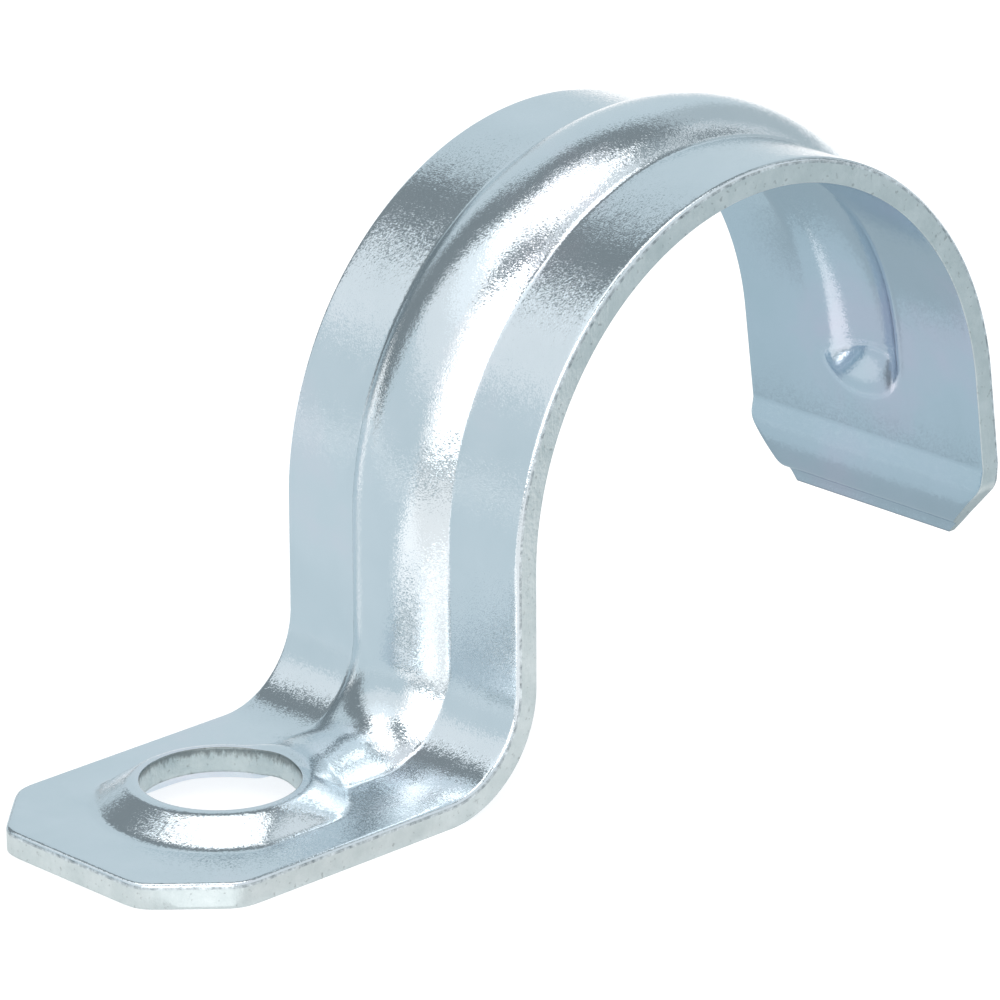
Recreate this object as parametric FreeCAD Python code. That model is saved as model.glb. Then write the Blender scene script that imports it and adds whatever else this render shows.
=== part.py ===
"""Conduit strap: a one-hole strap stamped and folded from one strip of zinc-plated steel.

The strip lies flat as an ear with a raised collar round its fixing hole, turns up through a
bend, passes over the conduit as a half ring and ends in a short toe that hangs free. A bead
pressed out of its middle stiffens it from the collar, through the bend, to the toe.

Frame, in millimetres: the origin is on the conduit's axis at the middle of the strap's width.
+X points from the ear to the toe, +Y along the conduit and +Z away from the mounting surface.
"""
import FreeCAD, Part
import math
import os

V = FreeCAD.Vector

# Driving dimensions, in millimetres and degrees -----------------------------------------
conduit_diameter = 44.2       # outside diameter of the conduit that the ring seats on
sheet = 1.8                   # thickness of the strip
strap_width = 22.9            # width of the strip, along the conduit
axis_height = 16.2            # conduit axis above the ear's underside, strap not tightened

bend_radius = 6.3             # inside radius of the bend between the ear and the ring

hole_diameter = 11.05         # fixing hole
hole_offset = 40.75           # conduit axis to the fixing hole, along X
ear_overhang = 13.5           # fixing hole to the end of the ear
ear_corner_x = 5.2            # cut corner of the ear, along X
ear_corner_y = 4.8            # cut corner of the ear, along Y
ear_corner_radius = 0.8       # rounding where a cut corner meets the side or the end

bead_width = 9.5              # bead across its feet, outside
bead_height = 2.0             # crest of the bead above the flats
bead_foot_radius = 0.45       # inside radius of the fold at the bead's feet, outside face
bead_end_drop = 4.9           # start of the toe's leg down to where the bead has run out
bead_end_run = 3.4            # length over which the bead runs out
bead_end_steps = 5            # sections that shape the run-out
bead_end_share = 0.99         # share of the run-out that is shaped, before its height is nil

collar_height = 1.72          # rim of the collar above the ear's top
collar_rim = 0.3              # level ring between the hole and the collar's crown
collar_slope = 33.0           # slope of the collar's round flank
collar_side_slope = 47.0      # slope of the collar's straight flanks, beside the hole
collar_side_reach = 0.2       # the straight flanks start this far outwards of the round one
collar_crown_radius = 1.2     # outside radius where the flank turns into the rim
collar_foot_radius = 0.6      # inside radius where the flank leaves the ear's top

toe_flare = 7.5               # the toe leaves the ring this far off the vertical, outwards
toe_fold_drop = 4.3           # conduit axis down to the fold of the lip
toe_drop = 10.1               # conduit axis down to the tip of the toe
lip_tuck = 11.0               # the lip turns in this far off the vertical, inside face
lip_lean = 3.5                # the lip turns in this far off the vertical, outside face
lip_run = 1.3                 # straight stretch of the lip's inside face below the fold
lip_swell = 0.12              # height of the bulge of the inside face over its chord
lip_inset = 0.15              # nose of the lip inwards of the fold
nose_radius = 0.9             # rolled edge at the foot of the inside face
tip_step = 0.9                # thinned tip below the nose
toe_corner_y = 3.85           # cut corner of the toe, along Y
toe_corner_z = 4.4            # cut corner of the toe, along Z
toe_corner_radius = 1.0       # rounding where a cut corner meets the side
tip_corner_radius = 0.4       # rounding where a cut corner meets the tip

# Worked-out dimensions ------------------------------------------------------------------
ring_inner = conduit_diameter / 2
ring_outer = ring_inner + sheet
half_width = strap_width / 2
hole_radius = hole_diameter / 2
ear_under = -axis_height
ear_top = ear_under + sheet
bend_x = -ring_outer - bend_radius
bend_z = ear_top + bend_radius
ear_end = -hole_offset - ear_overhang

bead_half = bead_width / 2

spare = 1.0                   # how far a cutting solid passes the face that it cuts


# Small helpers --------------------------------------------------------------------------
def frame_at(origin, across, outward):
    """A flat drawing frame: (u, v) becomes origin + u * across + v * outward."""
    return lambda u, v: origin + across * u + outward * v


def trace(place, start, steps):
    """A closed wire. Each step ends a line (one point) or an arc (a point passed, an end)."""
    edges = []
    here = place(*start)
    for step in steps + [[start]]:
        end = place(*step[-1])
        if end.distanceToPoint(here) < 1e-7:
            continue
        if len(step) == 2:
            edges.append(Part.Arc(here, place(*step[0]), end).toShape())
        else:
            edges.append(Part.makeLine(here, end))
        here = end
    return Part.Wire(edges)


def face_of(place, start, steps):
    return Part.Face(trace(place, start, steps))


def polar(centre, radius, degrees):
    angle = math.radians(degrees)
    return (centre[0] + radius * math.cos(angle), centre[1] + radius * math.sin(angle))


def rounded_prism(face, along, corners):
    """Extrudes a face and rounds the upright edges that stand on the named corners."""
    prism = face.extrude(along)
    for corner, radius in corners:
        edges = [e for e in prism.Edges if upright_at(e, along, corner)]
        prism = prism.makeFillet(radius, edges)
    return prism


def upright_at(edge, along, corner):
    """True for an edge that runs the full way along the extrusion from this corner."""
    if abs(edge.Length - along.Length) > 1e-6:
        return False
    ends = [v.Point for v in edge.Vertexes]
    return min(corner.distanceToPoint(p) for p in ends) < 1e-4


# The strip's cross-section: flats either side of the bead --------------------------------
def bead_arcs(half, height):
    """The crest's radius, the height of its centre and the foot's distance from the middle."""
    crest_r = (half ** 2 + height ** 2) / (2 * height)
    centre = sheet + height - crest_r
    foot = math.sqrt((crest_r + bead_foot_radius) ** 2
                     - (sheet + bead_foot_radius - centre) ** 2)
    return crest_r, centre, foot


def bead_side(depth, half=bead_half, height=bead_height):
    """Steps over the bead from -Y to +Y on the face that lies depth below the outside."""
    crest_r, centre, foot = bead_arcs(half, height)
    level = sheet - depth
    crest_r = crest_r - depth
    foot_r = bead_foot_radius + depth
    right = (foot, sheet + bead_foot_radius)
    lean = math.degrees(math.atan2(right[1] - centre, foot))
    crest_end = polar((0.0, centre), crest_r, lean)
    foot_mid = polar(right, foot_r, (180 + lean + 270) / 2)
    left_end = (-crest_end[0], crest_end[1])
    left_mid = (-foot_mid[0], foot_mid[1])
    return [[(-foot, level)],
            [left_mid, left_end],
            [(0.0, centre + crest_r), crest_end],
            [foot_mid, (foot, level)]]


def backwards(start, steps):
    """The same steps drawn from their end to their start."""
    points = [start] + [step[-1] for step in steps]
    middles = [step[0] if len(step) == 2 else None for step in steps]
    turned = []
    for i in range(len(steps) - 1, -1, -1):
        turned.append([points[i]] if middles[i] is None else [middles[i], points[i]])
    return turned


def strip_section(place):
    """The full section of the beaded strip, at constant thickness."""
    outside = bead_side(0.0) + [[(half_width, sheet)]]
    inside = bead_side(sheet) + [[(half_width, 0.0)]]
    under = backwards((-half_width, 0.0), inside)
    return face_of(place, (-half_width, sheet), outside + [[(half_width, 0.0)]] + under)


def bead_outline(place, depth, floor, half=bead_half, height=bead_height):
    """The outline between the bead's face at this depth and a floor level."""
    steps = bead_side(depth, half, height)
    start = steps[0][0]
    return trace(place, start, steps[1:] + [[(-start[0], floor)], [(start[0], floor)]])


def bead_block(place, depth, floor):
    return Part.Face(bead_outline(place, depth, floor))


def bead_end(origin, down, outward, depth, floor):
    """The bead's run-out on the toe: sections that get lower and narrower on the way down."""
    slope = math.atan(bead_height / bead_end_run)
    shift = down * (-depth * math.tan(slope / 2))
    sections = []
    for i in range(bead_end_steps + 1):
        share = bead_end_share * i / bead_end_steps
        half = bead_half * math.sqrt(1 - share ** 2)
        height = bead_height * (1 - share)
        at = bead_end_drop - bead_end_run * (1 - share)
        place = frame_at(origin + down * at + shift, V(0, 1, 0), outward)
        sections.append(bead_outline(place, depth, floor, half, height))
    start = frame_at(origin, V(0, 1, 0), outward)
    straight = bead_block(start, depth, floor)
    run_out = Part.makeLoft(sections, True, False)
    length = bead_end_drop - bead_end_run
    return straight.extrude(down * length + shift).fuse(run_out)


# The collar round the fixing hole ---------------------------------------------------------
def collar_crown(depth, crown_r, degrees):
    """Steps from the rim over the crown to the flank, on the face that lies depth below."""
    size = collar_crown_radius - depth
    crown = (crown_r, sheet + collar_height - collar_crown_radius)
    flank = polar(crown, size, 90 - degrees)
    if size > 0:
        return [[(crown_r, crown[1] + size)], [polar(crown, size, 90 - degrees / 2), flank]]
    level = crown[1] + size
    return [[(flank[0] + (flank[1] - level) / math.tan(math.radians(degrees)), level)]]


def collar_area(place, depth, floor, reach, degrees):
    """Half section of the collar, from its middle outwards, under its face at this depth."""
    slope = math.radians(degrees)
    turned = 1 - math.cos(slope)
    radii = collar_crown_radius + collar_foot_radius
    run = (collar_height - radii * turned) / math.sin(slope)
    crown_r = hole_radius + collar_rim + reach
    foot_r = crown_r + radii * math.sin(slope) + run * math.cos(slope)
    foot = (foot_r, sheet + collar_foot_radius)
    foot_size = collar_foot_radius + depth
    steps = collar_crown(depth, crown_r, degrees)
    steps += [[polar(foot, foot_size, 270 - degrees)],
              [polar(foot, foot_size, 270 - degrees / 2), (foot_r, foot[1] - foot_size)],
              [(foot_r, floor)],
              [(0.0, floor)]]
    return face_of(place, (0.0, steps[0][0][1]), steps)


def collar_body(depth, floor):
    """The collar's hill (depth 0) or the hollow under it (depth = sheet), in place."""
    middle = V(-hole_offset, 0, ear_under)
    place = frame_at(middle, V(1, 0, 0), V(0, 0, 1))
    body = collar_area(place, depth, floor, 0.0, collar_slope)
    body = body.revolve(middle, V(0, 0, 1), 360)
    sides = []
    for side in (-1, 1):
        start = middle - V(strap_width, 0, 0)
        place = frame_at(start, V(0, side, 0), V(0, 0, 1))
        half = collar_area(place, depth, floor - spare, collar_side_reach, collar_side_slope)
        sides.append(half.extrude(V(2 * strap_width, 0, 0)))
    return body.common(sides[0].fuse(sides[1]).removeSplitter())


# The stretches of the strip ---------------------------------------------------------------
def ear_outline():
    """The ear's blank: a plate with two cut corners, thick enough to hold the collar."""
    inner = bend_x
    y_cut = half_width - ear_corner_y
    x_cut = ear_end + ear_corner_x
    place = frame_at(V(0, 0, ear_under), V(1, 0, 0), V(0, 1, 0))
    blank = face_of(place, (inner, -half_width),
                    [[(x_cut, -half_width)], [(ear_end, -y_cut)], [(ear_end, y_cut)],
                     [(x_cut, half_width)], [(inner, half_width)]])
    corners = []
    for side in (-1, 1):
        corners.append((place(x_cut, side * half_width), ear_corner_radius))
        corners.append((place(ear_end, side * y_cut), ear_corner_radius))
    height = V(0, 0, 2 * sheet + collar_height + bead_height)
    return rounded_prism(blank, height, corners)


def ear():
    """The flat ear with the bead running into the raised collar round the hole."""
    start = V(bend_x, 0, ear_under)
    place = frame_at(start, V(0, 1, 0), V(0, 0, 1))
    plate = Part.makeBox(bend_x - ear_end, strap_width, sheet,
                         V(ear_end, -half_width, ear_under))
    reach = V(-hole_offset - bend_x, 0, 0)
    bead = bead_block(place, 0.0, 0.0).extrude(reach)
    groove = bead_block(place, sheet, -spare).extrude(reach)
    body = plate.fuse([bead, collar_body(0.0, 0.0)])
    body = body.common(ear_outline())
    hole = Part.makeCylinder(hole_radius, 3 * (sheet + bead_height) + 2 * spare,
                             V(-hole_offset, 0, ear_under - spare))
    return body.cut([groove, collar_body(sheet, -sheet - spare), hole])


def bend():
    """The quarter turn from the ear up to the ring."""
    centre = V(bend_x, 0, bend_z)
    place = frame_at(V(bend_x, 0, ear_under), V(0, 1, 0), V(0, 0, 1))
    return strip_section(place).revolve(centre, V(0, -1, 0), 90)


def riser():
    """The upright stretch between the bend and the ring."""
    place = frame_at(V(-ring_inner, 0, bend_z), V(0, 1, 0), V(-1, 0, 0))
    return strip_section(place).extrude(V(0, 0, -bend_z))


def ring():
    """The half ring over the conduit, from the riser to the toe."""
    place = frame_at(V(-ring_inner, 0, 0), V(0, 1, 0), V(-1, 0, 0))
    return strip_section(place).revolve(V(0, 0, 0), V(0, 1, 0), 180 - toe_flare)


def toe_directions():
    """Where the toe starts on the ring's inside, its run downwards and its outward side."""
    angle = math.radians(toe_flare)
    outward = V(math.cos(angle), 0, math.sin(angle))
    down = V(math.sin(angle), 0, -math.cos(angle))
    return outward * ring_inner, down, outward


def toe_leg():
    """The straight leg of the toe, where the bead runs out."""
    start, down, outward = toe_directions()
    length = (start.z + toe_fold_drop) / -down.z
    place = frame_at(start, V(0, 1, 0), down)
    plate = face_of(place, (-half_width, 0.0),
                    [[(-half_width, length)], [(half_width, length)], [(half_width, 0.0)]])
    body = plate.extrude(outward * sheet)
    body = body.fuse(bead_end(start, down, outward, 0.0, 0.0))
    return body.cut(bead_end(start, down, outward, sheet, -spare))


def lip():
    """The lip below the toe's fold, with its rolled nose and thinned tip."""
    start, down, outward = toe_directions()
    length = (start.z + toe_fold_drop) / -down.z
    fold = start + down * length
    outer_fold = fold + outward * sheet
    tuck = math.radians(lip_tuck)
    nose_z = -toe_drop + tip_step + nose_radius
    nose_x = fold.x - lip_inset
    run_end = (fold.x - lip_run * math.sin(tuck), fold.z - lip_run * math.cos(tuck))
    swell = ((run_end[0] + nose_x) / 2 - lip_swell, (run_end[1] + nose_z) / 2)
    nose = (nose_x + nose_radius, nose_z)
    tip_outer = outer_fold.x - math.tan(math.radians(lip_lean)) * (outer_fold.z + toe_drop)
    place = frame_at(V(0, -half_width, 0), V(1, 0, 0), V(0, 0, 1))
    side = face_of(place, (fold.x, fold.z),
                   [[run_end],
                    [swell, (nose_x, nose_z)],
                    [polar(nose, nose_radius, 225), (nose[0], nose_z - nose_radius)],
                    [(nose[0], -toe_drop)],
                    [(tip_outer, -toe_drop)],
                    [(outer_fold.x, outer_fold.z)]])
    return side.extrude(V(0, strap_width, 0))


def toe_outline():
    """The toe's blank seen along X: its two lower corners are cut."""
    y_cut = half_width - toe_corner_y
    z_cut = -toe_drop + toe_corner_z
    near = ring_inner - spare
    place = frame_at(V(near, 0, 0), V(0, 1, 0), V(0, 0, 1))
    blank = face_of(place, (-half_width, 0.0),
                    [[(-half_width, z_cut)], [(-y_cut, -toe_drop)], [(y_cut, -toe_drop)],
                     [(half_width, z_cut)], [(half_width, 0.0)]])
    corners = []
    for side in (-1, 1):
        corners.append((place(side * half_width, z_cut), toe_corner_radius))
        corners.append((place(side * y_cut, -toe_drop), tip_corner_radius))
    return rounded_prism(blank, V(3 * sheet + 2 * spare, 0, 0), corners)


def strap():
    toe = lip().common(toe_outline())
    body = ear().fuse([bend(), riser(), ring(), toe_leg(), toe])
    return body.removeSplitter()


os.makedirs("parts", exist_ok=True)
body = strap()
print("valid", body.isValid(), "solids", len(body.Solids), "faces", len(body.Faces),
      "volume", round(body.Volume, 1))
print(body.BoundBox)
body.exportStep("parts/strap.step")
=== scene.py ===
import math

import bmesh
import bpy
import numpy as np
from mathutils import Matrix, Vector


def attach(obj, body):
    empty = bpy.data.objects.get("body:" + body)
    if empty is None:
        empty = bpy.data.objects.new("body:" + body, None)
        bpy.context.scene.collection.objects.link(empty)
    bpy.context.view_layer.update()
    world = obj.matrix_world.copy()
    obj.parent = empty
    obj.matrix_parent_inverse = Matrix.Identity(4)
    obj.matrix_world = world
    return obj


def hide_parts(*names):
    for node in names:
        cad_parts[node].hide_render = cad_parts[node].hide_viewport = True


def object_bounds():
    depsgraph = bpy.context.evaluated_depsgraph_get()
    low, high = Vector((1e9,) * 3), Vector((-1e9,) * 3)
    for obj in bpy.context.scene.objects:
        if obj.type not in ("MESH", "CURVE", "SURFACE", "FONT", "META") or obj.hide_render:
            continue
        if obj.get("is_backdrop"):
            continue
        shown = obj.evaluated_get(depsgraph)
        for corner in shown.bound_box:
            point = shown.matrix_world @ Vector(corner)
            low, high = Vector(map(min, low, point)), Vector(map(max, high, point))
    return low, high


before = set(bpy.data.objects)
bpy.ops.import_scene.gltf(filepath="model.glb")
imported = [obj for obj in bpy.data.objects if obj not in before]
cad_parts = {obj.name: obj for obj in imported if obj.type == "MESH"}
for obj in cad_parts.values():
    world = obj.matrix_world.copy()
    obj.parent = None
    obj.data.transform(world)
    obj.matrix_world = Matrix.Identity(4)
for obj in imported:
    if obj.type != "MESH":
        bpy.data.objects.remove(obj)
bpy.context.view_layer.update()
low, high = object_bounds()
loaded_size = [list(low), list(high)]

# Camera: angles in degrees, places in metres and the lens in millimetres
CAMERA_AZIMUTH = -44.182
CAMERA_ELEVATION = 20.407
CAMERA_ROLL = -0.241
CAMERA_DISTANCE = 0.484812
CAMERA_TARGET = Vector((-0.014387, 0.0, 0.000317))
CAMERA_LENS = 252.436

# Floor, in metres
GROUND = loaded_size[0][2]
FLOOR_SIZE = 8.0
FLOOR_GREY = 0.5
FLOOR_GLOW = 0.70  # added where the camera or the metal sees the floor

# Studio cards: tints, and distances from the part in metres
WHITE = (1, 1, 1)
PALE_BLUE = (0.92, 0.97, 1.0)
GREY_BLUE = (0.82, 0.94, 1.0)
FARTHEST = 1.75
FAR = 1.6
NEAR = 1.5
NEAREST = 1.45
CARD_STEPS = 12  # along each side
LIFT = 0.0001  # above the floor, in metres
UPPER_LIFT = 0.0002  # of a card that lies over its neighbours

# The strap's materials, by their numbers on its faces
OUTER, CUT, INSIDE, WALL, LIP = range(5)

# The zinc's surface, in metres
CRYSTALS = 8000.0  # in one metre
WAVES_HIGH = 0.00005
MARKS_HIGH = 0.0001
PITS_DEEP = 0.00005
FINE_HIGH = 0.000012

# The strap, in millimetres. X runs from the ear to the toe and Z is up, both from the axis
# of the conduit. The ear's end, its underside and the width are those of the loaded solid.
MM = 1000.0  # in a metre
EAR_END = round(MM * loaded_size[0][0], 3)
EAR_UNDER = round(MM * loaded_size[0][2], 3)
HALF_WIDTH = round(MM * loaded_size[1][1], 3)
SHEET = 1.8
EAR_TOP = EAR_UNDER + SHEET
RING_IN = 22.1  # inside radius
RING_OUT = RING_IN + SHEET

# Bend between the ear and the riser
BEND = 6.3  # radius of its hollow upper face
BEND_X = -RING_OUT - BEND  # its centre
BEND_Z = EAR_TOP + BEND

# Ear and its hole
EAR_CORNER = (5.2, 4.8)  # cut off along the ear and over its width
CORNER_REACH = 1.5  # how far along the sides the corners are rounded
CORNER_PASSES = 6  # of the rounding
HOLE_X = -40.75
HOLE = 5.525  # radius

# Collar round the hole. Its slope is round at the end of the ear and straight along both
# sides, and each of the two starts this far from the middle, at this angle to the flat.
COLLAR_HIGH = 1.72
COLLAR_CROWN = 1.2  # radius of its shoulder
ROUND_SLOPE = {"start": HOLE + 0.12, "slope": math.radians(33.0), "foot_r": 1.5}
SIDE_SLOPE = {"start": HOLE + 0.35, "slope": math.radians(47.0), "foot_r": 0.6}
SLOPES_MEET = 0.25  # width of the blend between the two

# Bead
BEAD_HALF = 4.75  # half its width on the riser and the ring
BEAD_HALF_EAR = 4.45
BEAD_HALF_TOE = 4.4
BEAD_HIGH = 2.0
BEAD_FOOT = 0.45  # radius of its foot
BEAD_NARROWS = 12.0  # last length of the ring, over which it narrows to the toe
BEAD_START = 0.45 * HOLE  # from the hole's middle, inside the collar
BEAD_START_RUN = 3.0
BEAD_RISE = 4.5  # from the hole's edge, where it goes from the collar's height to its own
BLEND = 0.35  # width of the blend between bead and collar, at the hole's edge
BLEND_GAIN = 1.0  # what the blend gains further out
BLEND_RUN = 1.2  # length over which it gains that

# Leg of the toe, from the end of the ring to the fold of the lip
FLARE = math.radians(7.5)
FOLD_DROP = 4.3  # from the axis down to the fold
LEG_DOWN = np.array((math.sin(FLARE), -math.cos(FLARE)))  # directions, in X and Z
LEG_OUT = np.array((math.cos(FLARE), math.sin(FLARE)))
LEG = (RING_IN * LEG_OUT[1] + FOLD_DROP) / -LEG_DOWN[1]  # length

# End of the bead, on the leg
BEAD_END = 4.9  # distance down the leg
BEAD_RUN = 3.4  # length of its slope
BEAD_FULL = BEAD_END - BEAD_RUN
RUN_FROM = -0.18  # share of the slope at which the bead begins to fall
RUN_TO = 0.995  # share at which it stops, a few micrometres high
RUN_EASE = 0.02  # how softly the slope begins
RUN_BOW = 0.08  # how far it bows

# Where the bead's end slopes, the inner face lies this far up the leg from the outer one,
# so that the sheet keeps its thickness
MITRE = math.tan(math.atan(BEAD_HIGH / BEAD_RUN) / 2) * SHEET
MITRE_EASE = 1.2  # to each side of BEAD_FULL, where the shift begins
MITRE_END = 0.8  # above the fold, where it ends

# Lip. Below the fold, the inner face turns in, swells, rolls round the nose and ends in the
# thin tip, and the outer face leans in.
TOE_DROP = 10.1  # from the axis down to the tip
TOE_CORNER = (4.4, 3.85)  # cut off up the toe and over its width
TOE_CORNER_SOFT = 0.5
TUCK = math.radians(11.0)
TUCK_RUN = 1.3
SWELL = 0.12
NOSE = 0.9  # radius
NOSE_IN = 0.15  # how much further in than the fold
TIP = 0.9  # height
TIP_LEAN = math.tan(math.radians(3.5))
LIP_PASSES = 3  # of the inner face's rounding

# Sheared edge
ROLL = 0.34  # width of the rolled upper corner
ROLL_DEEP = ROLL * 1.15
BURR = 0.07  # radius of the lower corner
PLATED_STRIPS = 4  # upper strips of the rolled corner, with the sheared lip below
LIP_STRIPS = 2

# Points over the width
ACROSS = 92
ACROSS_FLAT = 14  # of them on each flat
ACROSS_BEAD = 5.4  # how far from the middle the others reach

# Steps along each part of the surface
BEND_STEPS = 40
RISER_STEPS = 14
RING_STEPS = 150
LEG_STEPS = 44
TUCK_STEPS, SWELL_STEPS, NOSE_STEPS, TIP_STEPS = 8, 14, 10, 6
ROLL_STEPS, SHEAR_STEPS, BURR_STEPS = 6, 6, 3
RIM_STEPS = (40, 16, 28, 16, 40)  # along the ear's five sides
RAY_STEPS = 46  # from the hole to the ear's border
RAY_POWER = 1.25  # above 1, the steps are finer near the hole
HOLE_STEPS = 8  # down the hole's wall
JOINED = 1e-6  # in metres: points closer than this are one


def new_object(name, data):
    obj = bpy.data.objects.new(name, data)
    bpy.context.scene.collection.objects.link(obj)
    return obj


def add_camera():
    """A camera that looks at its target from this azimuth and elevation."""
    a = math.radians(CAMERA_AZIMUTH)
    e = math.radians(CAMERA_ELEVATION)
    r = math.radians(CAMERA_ROLL)
    back = Vector((math.sin(a) * math.cos(e), -math.cos(a) * math.cos(e), math.sin(e)))
    level = Vector((math.cos(a), math.sin(a), 0))
    upright = back.cross(level)
    right = math.cos(r) * level + math.sin(r) * upright
    up = -math.sin(r) * level + math.cos(r) * upright
    data = bpy.data.cameras.new("camera")
    data.lens = CAMERA_LENS
    data.sensor_width = 36.0
    data.sensor_fit = "HORIZONTAL"
    data.clip_start = 0.01
    data.clip_end = 20.0
    camera = new_object("camera", data)
    place = Matrix.Translation(CAMERA_TARGET + back * CAMERA_DISTANCE)
    camera.matrix_world = place @ Matrix((right, up, back)).transposed().to_4x4()
    bpy.context.scene.camera = camera


# Materials -------------------------------------------------------------------------------
def node(tree, kind, inputs=None, **settings):
    """A new node. Each input named or numbered here takes a value or another node's output."""
    made = tree.nodes.new(kind)
    for name, setting in settings.items():
        setattr(made, name, setting)
    for socket, value in (inputs or {}).items():
        if isinstance(value, bpy.types.NodeSocket):
            tree.links.new(value, made.inputs[socket])
        else:
            made.inputs[socket].default_value = value
    return made


def noise(tree, scale, detail, rough, stretch=(1, 1, 1)):
    """A noise texture in the object's own coordinates, with scale in waves a metre."""
    coords = node(tree, "ShaderNodeTexCoord")
    mapping = node(tree, "ShaderNodeMapping",
                   {"Vector": coords.outputs["Object"], "Scale": stretch})
    texture = node(tree, "ShaderNodeTexNoise", {
        "Vector": mapping.outputs["Vector"], "Scale": scale, "Detail": detail, "Roughness": rough})
    return texture.outputs["Fac"]


def ramp(tree, factor, *stops):
    """A colour that follows the factor, between stops of (position, colour)."""
    made = node(tree, "ShaderNodeValToRGB", {"Fac": factor})
    elements = made.color_ramp.elements
    while len(elements) < len(stops):
        elements.new(0.5)
    for element, (position, colour) in zip(elements, stops):
        element.position = position
        element.color = (*colour, 1)
    return made.outputs["Color"]


def number_ramp(tree, factor, *stops):
    return ramp(tree, factor, *[(position, (value,) * 3) for position, value in stops])


def multiplied(tree, one, other):
    """One colour times the other."""
    mix = node(tree, "ShaderNodeMix", {"Factor": 1.0}, data_type="RGBA", blend_type="MULTIPLY")
    first, second = [socket for socket in mix.inputs if socket.type == "RGBA"]
    tree.links.new(one, first)
    tree.links.new(other, second)
    return [socket for socket in mix.outputs if socket.type == "RGBA"][0]


def bumps(tree, *layers):
    """The normal after bumps, each a texture with its height in metres."""
    normal = None
    for texture, height in layers:
        bump = node(tree, "ShaderNodeBump", {
            "Strength": 1.0, "Distance": height, "Height": texture})
        if normal is not None:
            tree.links.new(normal, bump.inputs["Normal"])
        normal = bump.outputs["Normal"]
    return normal


def crystals(tree, normal, lean):
    """Every small crystal of the zinc leans its own way, so borders of light sparkle."""
    coords = node(tree, "ShaderNodeTexCoord")
    cells = node(tree, "ShaderNodeTexVoronoi", {
        "Vector": coords.outputs["Object"], "Scale": CRYSTALS})
    centred = node(tree, "ShaderNodeVectorMath", {
        0: cells.outputs["Color"], 1: (0.5, 0.5, 0.5)}, operation="SUBTRACT")
    scaled = node(tree, "ShaderNodeVectorMath", {
        0: centred.outputs[0], "Scale": lean}, operation="SCALE")
    total = node(tree, "ShaderNodeVectorMath", {0: normal, 1: scaled.outputs[0]}, operation="ADD")
    unit = node(tree, "ShaderNodeVectorMath", {0: total.outputs[0]}, operation="NORMALIZE")
    return unit.outputs[0]


def new_material(name):
    mat = bpy.data.materials.new(name)
    mat.use_nodes = True
    tree = mat.node_tree
    tree.nodes.clear()
    out = node(tree, "ShaderNodeOutputMaterial")
    return mat, tree, out


def new_metal(name, metallic):
    mat, tree, out = new_material(name)
    shader = node(tree, "ShaderNodeBsdfPrincipled", {"Metallic": metallic})
    tree.links.new(shader.outputs[0], out.inputs["Surface"])
    return mat, tree, shader


def plated(name, low_tint, high_tint, warm_tint, roughness, grain, facets):
    """Bright zinc plate: patches of tint, slow waves, fine grain and leaning crystals."""
    mat, tree, shader = new_metal(name, metallic=1.0)
    patches = noise(tree, scale=70.0, detail=4.0, rough=0.6)
    colour = ramp(tree, patches, (0.36, low_tint), (0.55, high_tint), (0.7, warm_tint))
    clouds = noise(tree, scale=300.0, detail=5.0, rough=0.65)
    rough = number_ramp(tree, clouds, (0.3, roughness * 0.75), (0.75, roughness * 1.4))
    fine = noise(tree, scale=8500.0, detail=1.0, rough=0.5)
    waves = noise(tree, scale=160.0, detail=2.0, rough=0.5)
    normal = crystals(tree, bumps(tree, (waves, WAVES_HIGH), (fine, grain)), facets)
    tree.links.new(colour, shader.inputs["Base Color"])
    tree.links.new(rough, shader.inputs["Roughness"])
    tree.links.new(normal, shader.inputs["Normal"])
    return mat


def darkened(tree, colour, height, fade=0.0009):
    """The colour, with dark specks that grow from this height up over the fade, in metres."""
    coords = node(tree, "ShaderNodeTexCoord")
    split = node(tree, "ShaderNodeSeparateXYZ", {0: coords.outputs["Object"]})
    band = node(tree, "ShaderNodeMapRange", {
        "Value": split.outputs["Z"], "From Min": height, "From Max": height + fade,
        "To Max": 0.5})
    specks = noise(tree, scale=3600.0, detail=4.0, rough=0.75, stretch=(1, 1, 0.35))
    total = node(tree, "ShaderNodeMath", {
        0: specks, 1: 0.9, 2: band.outputs["Result"]}, operation="MULTIPLY_ADD")
    return multiplied(tree, colour, number_ramp(tree, total.outputs[0], (0.62, 1.0), (0.86, 0.45)))


def cut_face(name, low_tint, high_tint, patch=420.0, dark_from=None):
    """The sheared edge: matte grey-green with upright marks and small pits."""
    mat, tree, shader = new_metal(name, metallic=0.85)
    patches = noise(tree, scale=patch, detail=6.0, rough=0.72)
    colour = ramp(tree, patches, (0.32, low_tint), (0.68, high_tint))
    pits = noise(tree, scale=2600.0, detail=2.0, rough=0.5)
    # Painted shade: the small pits are darkened in colour as well as bumped in
    colour = multiplied(tree, colour, number_ramp(tree, pits, (0.26, 0.7), (0.36, 1.0)))
    if dark_from is not None:
        colour = darkened(tree, colour, dark_from)
    marks = noise(tree, scale=900.0, detail=4.0, rough=0.65, stretch=(1, 1, 0.3))
    fine = noise(tree, scale=4200.0, detail=2.0, rough=0.6)
    normal = bumps(tree, (marks, MARKS_HIGH), (pits, PITS_DEEP), (fine, FINE_HIGH))
    shader.inputs["Roughness"].default_value = 0.4
    tree.links.new(colour, shader.inputs["Base Color"])
    tree.links.new(normal, shader.inputs["Normal"])
    return mat


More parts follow.
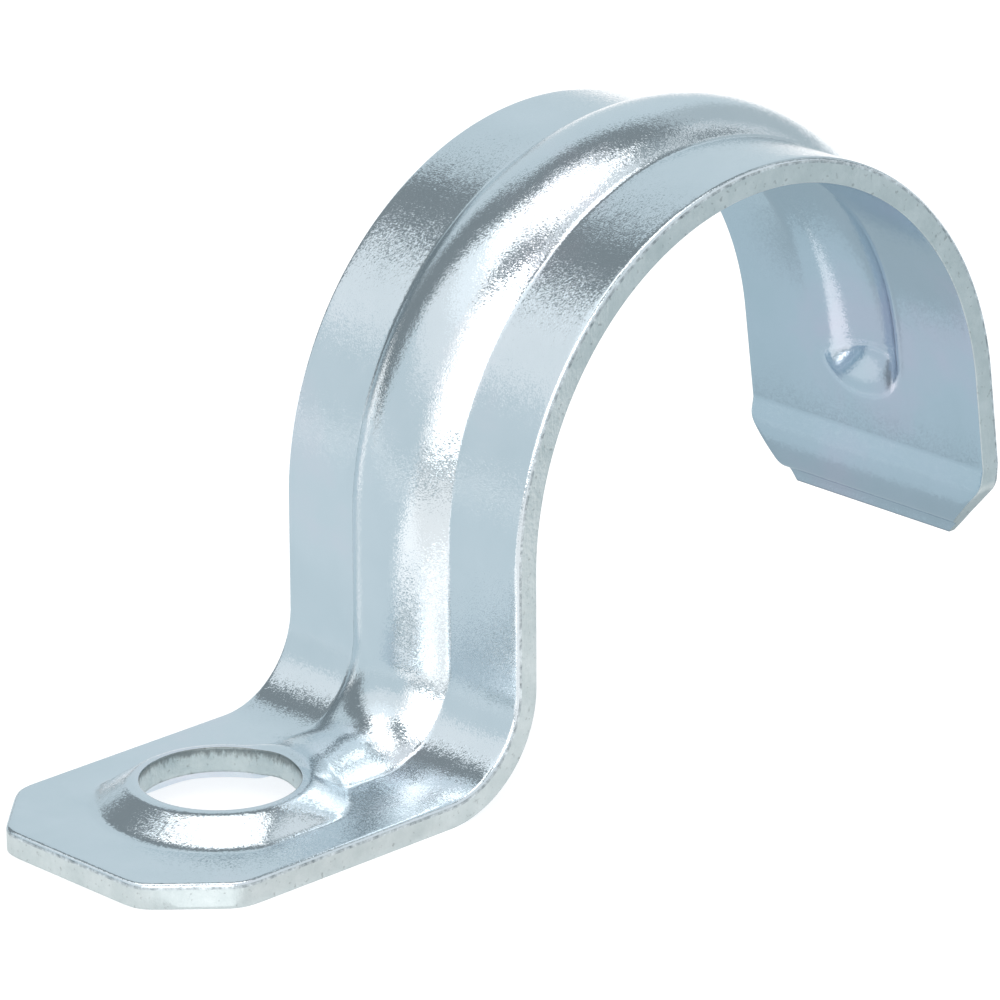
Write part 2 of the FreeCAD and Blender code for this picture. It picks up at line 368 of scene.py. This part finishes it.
def strap_materials():
    """The strap's materials, in the order of their numbers."""
    return (
        plated("zinc_plate", (0.71, 0.78, 0.82), (0.76, 0.82, 0.86), (0.81, 0.82, 0.87),
               roughness=0.11, grain=0.000012, facets=0.085),
        cut_face("zinc_cut_face", (0.50, 0.57, 0.58), (0.62, 0.68, 0.69)),
        # Painted shade: the inside face is the same zinc plate in darker, bluer tints, standing in
        # for the shaded floor and strap that it reflects
        plated("zinc_plate_inside_painted_shade", (0.54, 0.65, 0.72), (0.57, 0.67, 0.75), (0.62, 0.66, 0.76),
               roughness=0.17, grain=0.000004, facets=0.06),
        cut_face("zinc_hole_wall", (0.44, 0.53, 0.55), (0.58, 0.66, 0.67),
                 dark_from=(EAR_TOP + 0.65) / MM),
        # Lower strips of the rolled corner: the sheared lip's own metal, with a painted dark
        # reflection line that speckles from dark to bright
        cut_face("zinc_sheared_lip_painted_dark_line", (0.18, 0.22, 0.24), (0.78, 0.85, 0.88), patch=1500.0),
    )


def floor_material():
    mat, tree, out = new_material("floor")
    grey = node(tree, "ShaderNodeBsdfDiffuse", {"Color": (FLOOR_GREY,) * 3 + (1,)})
    path = node(tree, "ShaderNodeLightPath")
    seen = node(tree, "ShaderNodeMath", {
        0: path.outputs["Is Camera Ray"], 1: path.outputs["Is Glossy Ray"]}, operation="MAXIMUM")
    level = node(tree, "ShaderNodeMath", {0: seen.outputs[0], 1: FLOOR_GLOW}, operation="MULTIPLY")
    glow = node(tree, "ShaderNodeEmission", {"Strength": level.outputs[0]})
    both = node(tree, "ShaderNodeAddShader", {0: grey.outputs[0], 1: glow.outputs[0]})
    tree.links.new(both.outputs[0], out.inputs["Surface"])
    return mat


def glow_material(name, level, tint):
    mat, tree, out = new_material(name)
    glow = node(tree, "ShaderNodeEmission", {"Color": (*tint, 1), "Strength": level})
    tree.links.new(glow.outputs[0], out.inputs["Surface"])
    return mat


# Studio ----------------------------------------------------------------------------------
def add_floor():
    bpy.ops.mesh.primitive_plane_add(size=FLOOR_SIZE, location=(0, 0, GROUND))
    floor = bpy.context.object
    floor.name = "floor"
    floor.data.materials.append(floor_material())
    floor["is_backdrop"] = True


def add_world():
    world = bpy.data.worlds.new("world")
    bpy.context.scene.world = world
    world.use_nodes = True
    tree = world.node_tree
    tree.nodes.clear()
    plain = node(tree, "ShaderNodeBackground", {"Color": (1, 1, 1, 1), "Strength": 1.0})
    node(tree, "ShaderNodeOutputWorld", {"Surface": plain.outputs[0]})


def add_card(name, points, faces, level, tint):
    """A glowing sheet that is seen only in the metal."""
    mesh = bpy.data.meshes.new(name)
    mesh.from_pydata(points, [], faces)
    mesh.materials.append(glow_material(name, level, tint))
    obj = new_object(name, mesh)
    obj.visible_camera = False
    obj.visible_diffuse = False
    obj.visible_shadow = False
    obj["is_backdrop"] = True


def card(name, azimuth, elevation, level, tint=WHITE, distance=FAR):
    """A card curved round the part, from and to these degrees."""
    points = []
    for i in range(CARD_STEPS + 1):
        e = math.radians(elevation[0] + (elevation[1] - elevation[0]) * i / CARD_STEPS)
        for j in range(CARD_STEPS + 1):
            a = math.radians(azimuth[0] + (azimuth[1] - azimuth[0]) * j / CARD_STEPS)
            points.append((distance * math.cos(e) * math.cos(a),
                           distance * math.cos(e) * math.sin(a), distance * math.sin(e)))
    row = CARD_STEPS + 1
    corners = [i * row + j for i in range(CARD_STEPS) for j in range(CARD_STEPS)]
    add_card(name, points, [(k, k + 1, k + row + 1, k + row) for k in corners], level, tint)


def floor_card(name, x, y, level, tint=WHITE, lift=LIFT):
    """A card on the floor, from and to these metres."""
    z = GROUND + lift
    points = [(x[0], y[0], z), (x[1], y[0], z), (x[1], y[1], z), (x[0], y[1], z)]
    add_card(name, points, [(0, 1, 2, 3)], level, tint)


def add_studio():
    """Soft boxes above and to the left, darker cards at their borders and cards on the floor,
    three of which are painted shadow of the strap.
    """
    card("room", (-180, 180), (-3, 90), 0.88, PALE_BLUE, FARTHEST)
    card("overhead", (-180, 180), (77, 90), 1.8, distance=NEAREST)
    card("overhead_front", (-112, -12), (65, 78), 1.6, distance=NEAR)
    card("overhead_back", (112, 186), (61, 78), 1.7, distance=NEAR)
    card("back_high", (112, 182), (44, 61), 1.12, PALE_BLUE)
    card("back_middle", (112, 182), (24, 44), 0.93, PALE_BLUE)
    card("back_low", (112, 182), (-26, 24), 0.77, GREY_BLUE)
    card("left_edge", (-178, -164), (8, 56), 1.10)
    card("left_box", (-164, -116), (8, 55), 2.4, distance=NEAR)
    card("overhead_left", (-150, -112), (69, 78), 1.4, distance=NEAR)
    card("left_box_foot", (-178, -116), (-7, 6), 0.50, GREY_BLUE)
    card("left_top", (-178, -102), (55, 69), 0.34, GREY_BLUE)
    card("top_dark", (-8, 112), (49, 70), 0.30, GREY_BLUE)
    card("top_left_dark", (-34, -8), (50, 63), 0.40, GREY_BLUE)
    card("side_dark", (80, 111), (-8, 49), 0.30, GREY_BLUE)
    card("side_shadow", (56, 80), (6, 49), 0.76, GREY_BLUE)
    card("side_low", (56, 80), (-14, 6), 0.42, GREY_BLUE)
    card("front_grey", (30, 56), (6, 49), 0.78, GREY_BLUE)
    card("front_shadow", (2, 30), (6, 49), 0.60, GREY_BLUE)
    card("front_dark", (-24, -5), (12, 46), 0.34, GREY_BLUE)
    # Painted shadow: these grey floor cards, seen only in the metal, stand in for the strap's
    # shadow on the floor under and behind the arch and under the toe
    floor_card("beyond_arch_painted_shadow", (-0.022, 0.300), (-0.012, 0.070), 0.76, GREY_BLUE)
    floor_card("under_toe_painted_shadow", (0.009, 0.040), (-0.012, 0.030), 0.60, GREY_BLUE, UPPER_LIFT)
    floor_card("beyond_ear", (-0.500, -0.024), (0.0125, 0.500), 0.80, GREY_BLUE)
    floor_card("before_ear", (-0.500, -0.030), (-0.500, -0.0118), 1.02)
    floor_card("ear_corner", (-0.060, -0.0495), (-0.030, -0.0085), 1.6, lift=UPPER_LIFT)
    # Painted shade: a grey floor card, seen only in the metal, for the floor shaded near the strap
    # in front of the toe
    floor_card("before_toe_painted_shade", (0.020, 0.500), (-0.500, -0.020), 0.76, GREY_BLUE)


# Strap -----------------------------------------------------------------------------------
def shares(steps):
    """Even shares, from the first step to 1."""
    return [i / steps for i in range(1, steps + 1)]


def smooth(t):
    t = np.clip(t, 0, 1)
    return t * t * (3 - 2 * t)


def soft_max(a, b, k):
    """The larger of two heights, blended over k where both stand above the flat."""
    k = np.maximum(np.minimum(k, 2 * np.minimum(a, b)), 1e-9)
    h = np.clip(0.5 + 0.5 * (a - b) / k, 0, 1)
    return b + (a - b) * h + k * h * (1 - h)


def soft_min(a, b, k):
    """The smaller of two values, blended over k."""
    h = np.clip(0.5 + 0.5 * (b - a) / k, 0, 1)
    return b + (a - b) * h - k * h * (1 - h)


def averaged(line):
    """The line's inner points, each moved towards its neighbours."""
    return (line[:-2] + 2 * line[1:-1] + line[2:]) / 4


def bead(u, half, high, depth):
    """Height over the flat of the arched bead, u from its middle, on the face depth below."""
    u = np.abs(u)
    crest = (half * half + high * high) / (2 * high)
    middle = high - crest
    foot = np.sqrt((crest + BEAD_FOOT) ** 2 - (BEAD_FOOT - middle) ** 2)
    turn = foot * (crest - depth) / (crest + BEAD_FOOT)
    top = np.sqrt(np.maximum((crest - depth) ** 2 - u * u, 0)) + middle + depth
    low = BEAD_FOOT - np.sqrt(np.maximum((BEAD_FOOT + depth) ** 2 - (foot - u) ** 2, 0)) + depth
    return np.where(u < turn, top, np.where(u < foot, low, 0.0))


def collar(u, depth, start, slope, foot_r):
    """Height over the flat of the collar, u from its middle, on the face depth below."""
    sine, cosine = math.sin(slope), math.cos(slope)
    run = (COLLAR_HIGH - (COLLAR_CROWN + foot_r) * (1 - cosine)) / sine
    foot = start + (COLLAR_CROWN + foot_r) * sine + run * cosine
    line_u = start + COLLAR_CROWN * sine - depth * sine
    line_v = COLLAR_HIGH - COLLAR_CROWN * (1 - cosine) - depth * cosine + depth
    line = line_v - (u - line_u) * math.tan(slope)
    crown = COLLAR_CROWN - depth
    if crown > 0:
        arc = COLLAR_HIGH - crown + np.sqrt(np.maximum(crown ** 2 - (u - start) ** 2, 0))
        top = np.where(u < start, COLLAR_HIGH, np.where(u < start + crown * sine, arc, line))
    else:
        top = np.minimum(COLLAR_HIGH, line)
    foot_out = foot_r + depth
    low = foot_out - np.sqrt(np.maximum(foot_out ** 2 - (foot - u) ** 2, 0))
    return np.where(u < foot - foot_out * sine, top, np.where(u < foot, low, 0.0))


def ear_height(x, y, depth):
    """Height of the bead and the collar over the ear, together."""
    reach = np.hypot(x - HOLE_X, y)
    around = collar(reach, depth, **ROUND_SLOPE)
    along = collar(np.abs(y), depth, **SIDE_SLOPE)
    raised = np.maximum(soft_min(around, along, SLOPES_MEET), 0)
    arch = bead(y, BEAD_HALF_EAR, BEAD_HIGH, depth)
    arch = arch * smooth((x - HOLE_X - BEAD_START) / BEAD_START_RUN)
    level = COLLAR_HIGH / BEAD_HIGH
    arch = arch * (level + (1 - level) * smooth((reach - HOLE) / BEAD_RISE))
    return soft_max(arch, raised, BLEND + BLEND_GAIN * smooth((reach - HOLE) / BLEND_RUN))


def edge_profile():
    """(inset, depth) down the sheared edge: the rolled corner, the wall and the low corner."""
    points = []
    for i in range(ROLL_STEPS + 1):
        turn = math.radians(90 * i / ROLL_STEPS)
        points.append((ROLL * (1 - math.sin(turn)), ROLL_DEEP * (1 - math.cos(turn))))
    for i in range(1, SHEAR_STEPS):
        points.append((0.0, ROLL_DEEP + (SHEET - BURR - ROLL_DEEP) * i / SHEAR_STEPS))
    for i in range(BURR_STEPS + 1):
        turn = math.radians(90 * i / BURR_STEPS)
        points.append((BURR * (1 - math.cos(turn)), SHEET - BURR + BURR * math.sin(turn)))
    return points


def edge_materials():
    """The material of each strip of the edge, from the top down."""
    cut_strips = len(edge_profile()) - 1 - PLATED_STRIPS - LIP_STRIPS
    return [OUTER] * PLATED_STRIPS + [LIP] * LIP_STRIPS + [CUT] * cut_strips


def across(limit):
    """Places over the width, to this limit: coarse on the flats and fine over the bead."""
    flat = np.linspace(limit, ACROSS_BEAD, ACROSS_FLAT, endpoint=False)
    middle = np.linspace(-ACROSS_BEAD, ACROSS_BEAD, ACROSS - 2 * ACROSS_FLAT)
    return np.concatenate([-flat, middle, flat[::-1]])


def section():
    """The points of a closed section: shares of the width, insets and depths."""
    outside = across(HALF_WIDTH - ROLL) / (HALF_WIDTH - ROLL)
    inside = across(HALF_WIDTH - BURR) / (HALF_WIDTH - BURR)
    edge = edge_profile()[1:-1]
    points = [(share, ROLL, 0.0) for share in outside]
    points += [(1.0, inset, depth) for inset, depth in edge]
    points += [(share, BURR, SHEET) for share in inside[::-1]]
    points += [(-1.0, inset, depth) for inset, depth in edge[::-1]]
    return np.array(points).T


def section_materials():
    """The material between each point of the section and the next."""
    edge = edge_materials()
    return [OUTER] * (ACROSS - 1) + edge + [INSIDE] * (ACROSS - 1) + edge[::-1]


SHARE, INSET, DEPTH = section()


def strip_loop(point, normal, half, high=BEAD_HIGH, back=(0.0, 0.0)):
    """The section at this point of the outer face, with its inner face moved back by this."""
    y = SHARE * (HALF_WIDTH - INSET)
    rise = bead(y, half, high, DEPTH) - DEPTH
    x, z = [p + n * rise - b * DEPTH / SHEET for p, n, b in zip(point, normal, back)]
    return np.column_stack([x, y, z])


def bend_loops():
    """Sections through the bend, where the bead widens."""
    loops = []
    for share in [0.0] + shares(BEND_STEPS):
        turn = math.pi / 2 * share
        point = (BEND_X + BEND * math.sin(turn), BEND_Z - BEND * math.cos(turn))
        half = BEAD_HALF_EAR + (BEAD_HALF - BEAD_HALF_EAR) * smooth(share)
        loops.append(strip_loop(point, (-math.sin(turn), math.cos(turn)), half))
    return loops


def riser_loops():
    return [strip_loop((-RING_OUT, BEND_Z * (1 - share)), (-1, 0), BEAD_HALF)
            for share in shares(RISER_STEPS)]


def ring_loops():
    """Sections over the ring, where the bead narrows towards the toe."""
    loops = []
    for share in shares(RING_STEPS):
        turn = math.pi - (math.pi - FLARE) * share
        normal = np.array((math.cos(turn), math.sin(turn)))
        left = (turn - FLARE) * RING_IN
        half = BEAD_HALF + (BEAD_HALF_TOE - BEAD_HALF) * smooth(1 - left / BEAD_NARROWS)
        loops.append(strip_loop(RING_OUT * normal, normal, half))
    return loops


def bead_on_leg(far):
    """Half the width and the height of the bead, this far down the leg."""
    share = (far - BEAD_FULL) / BEAD_RUN
    if share <= RUN_FROM:
        return BEAD_HALF_TOE, BEAD_HIGH
    share = min(0.5 * (share + math.sqrt(share * share + RUN_EASE)), RUN_TO)
    fall = 1 - share + RUN_BOW * math.sin(2 * math.pi * share)
    return BEAD_HALF_TOE * math.sqrt(1 - share ** 2), BEAD_HIGH * fall


def leg_loops():
    """Sections down the toe's leg, where the bead runs out."""
    loops = []
    for share in shares(LEG_STEPS):
        far = LEG * share
        half, high = bead_on_leg(far)
        fade = smooth((far - BEAD_FULL + MITRE_EASE) / (2 * MITRE_EASE))
        fade *= smooth((LEG - far) / MITRE_END)
        point = RING_OUT * LEG_OUT + LEG_DOWN * far
        loops.append(strip_loop(point, LEG_OUT, half, high, LEG_DOWN * MITRE * fade))
    return loops


def lip_profile():
    """Outer and inner points down the lip, from the fold to the tip."""
    fold = RING_IN * LEG_OUT + LEG_DOWN * LEG
    tucked = fold + TUCK_RUN * np.array((-math.sin(TUCK), -math.cos(TUCK)))
    nose = np.array((fold[0] - NOSE_IN + NOSE, -TOE_DROP + TIP + NOSE))
    inner = [fold] + [fold + (tucked - fold) * t for t in shares(TUCK_STEPS)]
    for t in shares(SWELL_STEPS):
        swell = SWELL * 4 * t * (1 - t)
        inner.append(tucked + (nose - (NOSE, 0) - tucked) * t - (swell, 0))
    for t in shares(NOSE_STEPS):
        turn = math.pi + math.pi / 2 * t
        inner.append(nose + NOSE * np.array((math.cos(turn), math.sin(turn))))
    inner += [nose - (0, NOSE + TIP * t) for t in shares(TIP_STEPS)]
    inner = np.array(inner)
    for _ in range(LIP_PASSES):
        inner[1:-1] = averaged(inner)
    top = fold + SHEET * LEG_OUT
    z = np.linspace(top[1], -TOE_DROP, len(inner))
    return np.column_stack([top[0] - TIP_LEAN * (top[1] - z), z]), inner


def toe_width(z):
    """Half the toe's width at this height: the lower corners are cut."""
    cut = HALF_WIDTH - TOE_CORNER[1] * (TOE_CORNER[0] - TOE_DROP - z) / TOE_CORNER[0]
    return soft_min(cut, HALF_WIDTH, TOE_CORNER_SOFT)


def lip_loops():
    """Sections down the lip, between its outer and its inner face."""
    loops = []
    for outer, inner in list(zip(*lip_profile()))[1:]:
        x, z = [o + (i - o) * DEPTH / SHEET for o, i in zip(outer, inner)]
        loops.append(np.column_stack([x, SHARE * (toe_width(z) - INSET), z]))
    return loops


def ear_rim(inset):
    """The ear's outline, this far inside its edge, from -Y round the end to +Y."""
    corner_x, corner_y = EAR_END + EAR_CORNER[0], HALF_WIDTH - EAR_CORNER[1]
    corners = np.array([
        (BEND_X, -HALF_WIDTH), (corner_x, -HALF_WIDTH), (EAR_END, -corner_y),
        (EAR_END, corner_y), (corner_x, HALF_WIDTH), (BEND_X, HALF_WIDTH)])
    line = [start + (end - start) * k / steps
            for start, end, steps in zip(corners, corners[1:], RIM_STEPS) for k in range(steps)]
    line = np.array(line + [corners[-1]])
    straight = line[1:-1, 0] > corner_x + CORNER_REACH
    for _ in range(CORNER_PASSES):
        line[1:-1] = np.where(straight[:, None], line[1:-1], averaged(line))
    run = np.gradient(line, axis=0)
    run[0], run[-1] = (-1, 0), (1, 0)
    run /= np.linalg.norm(run, axis=1)[:, None]
    return line + np.column_stack([run[:, 1], -run[:, 0]]) * inset


def ear_border(inset):
    """The ear's rim and then its border with the bend, all round."""
    bend = np.column_stack([np.full(ACROSS, BEND_X), across(HALF_WIDTH - inset)[::-1]])
    return np.vstack([ear_rim(inset), bend[1:-1]])


def ear_rays(inset, depth):
    """The ear's top or underside, in rows from the hole's edge to the border."""
    border, full = ear_border(inset), ear_border(0.0)
    angle = np.arctan2(full[:, 1], full[:, 0] - HOLE_X)
    edge = np.column_stack([HOLE_X + HOLE * np.cos(angle), HOLE * np.sin(angle)])
    rows = []
    for share in [0.0] + shares(RAY_STEPS):
        flat = edge + (border - edge) * share ** RAY_POWER
        height = ear_height(flat[:, 0], flat[:, 1], depth)
        rows.append(np.column_stack([flat, EAR_TOP - depth + height]))
    return rows


class Surface:
    """Points in millimetres, and faces with their materials' numbers."""

    def __init__(self):
        self.points = []
        self.faces = []
        self.materials = []

    def add_rows(self, rows):
        """Adds rows of points and gives their numbers, in the same rows."""
        start = len(self.points)
        table = np.asarray(rows)
        self.points += table.reshape(-1, 3).tolist()
        return start + np.arange(table.shape[0] * table.shape[1]).reshape(table.shape[:2])

    def add_face(self, corners, material):
        self.faces.append([int(corner) for corner in corners])
        self.materials.append(material)

    def add_quads(self, ids, material, closed=False, flip=False):
        """Joins the rows by quads, in one material or in one for each column."""
        rows, columns = ids.shape
        kinds = np.broadcast_to(material, columns).tolist()
        for i in range(rows - 1):
            for j in range(columns if closed else columns - 1):
                k = (j + 1) % columns
                face = (ids[i, j], ids[i, k], ids[i + 1, k], ids[i + 1, j])
                self.add_face(face[::-1] if flip else face, kinds[j])

    def to_object(self, name):
        """The smooth object in metres, with all its faces outwards."""
        mesh = bpy.data.meshes.new(name)
        mesh.from_pydata((np.array(self.points) / MM).tolist(), [], self.faces)
        mesh.polygons.foreach_set("material_index", self.materials)
        mesh.update()
        work = bmesh.new()
        work.from_mesh(mesh)
        bmesh.ops.remove_doubles(work, verts=work.verts, dist=JOINED)
        bmesh.ops.recalc_face_normals(work, faces=work.faces)
        work.to_mesh(mesh)
        work.free()
        mesh.polygons.foreach_set("use_smooth", [True] * len(mesh.polygons))
        return new_object(name, mesh)


def build_strap():
    """The whole strap, as one closed surface."""
    surface = Surface()
    strip = bend_loops() + riser_loops() + ring_loops() + leg_loops() + lip_loops()
    ids = surface.add_rows(strip)
    surface.add_quads(ids, section_materials(), closed=True)
    surface.add_face(ids[-1][::-1], CUT)
    top = ear_rays(ROLL, 0.0)
    surface.add_quads(surface.add_rows(top), OUTER, closed=True, flip=True)
    under = ear_rays(BURR, SHEET)
    surface.add_quads(surface.add_rows(under), INSIDE, closed=True)
    wall = [top[0] + (under[0] - top[0]) * share for share in [0.0] + shares(HOLE_STEPS)]
    surface.add_quads(surface.add_rows(wall), WALL, closed=True)
    rims = [(ear_rim(inset), depth) for inset, depth in edge_profile()]
    edge = [np.column_stack([rim, np.full(len(rim), EAR_TOP - depth)]) for rim, depth in rims]
    ids = surface.add_rows(edge)
    for k, material in enumerate(edge_materials()):
        surface.add_quads(ids[k:k + 2], material, flip=True)
    return surface.to_object("strap_plate")


add_camera()
add_floor()
add_world()
add_studio()
strap = build_strap()
for mat in strap_materials():
    strap.data.materials.append(mat)
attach(strap, "root")
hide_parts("strap")
bpy.context.scene.view_settings.view_transform = "Standard"
bpy.context.view_layer.update()
low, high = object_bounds()
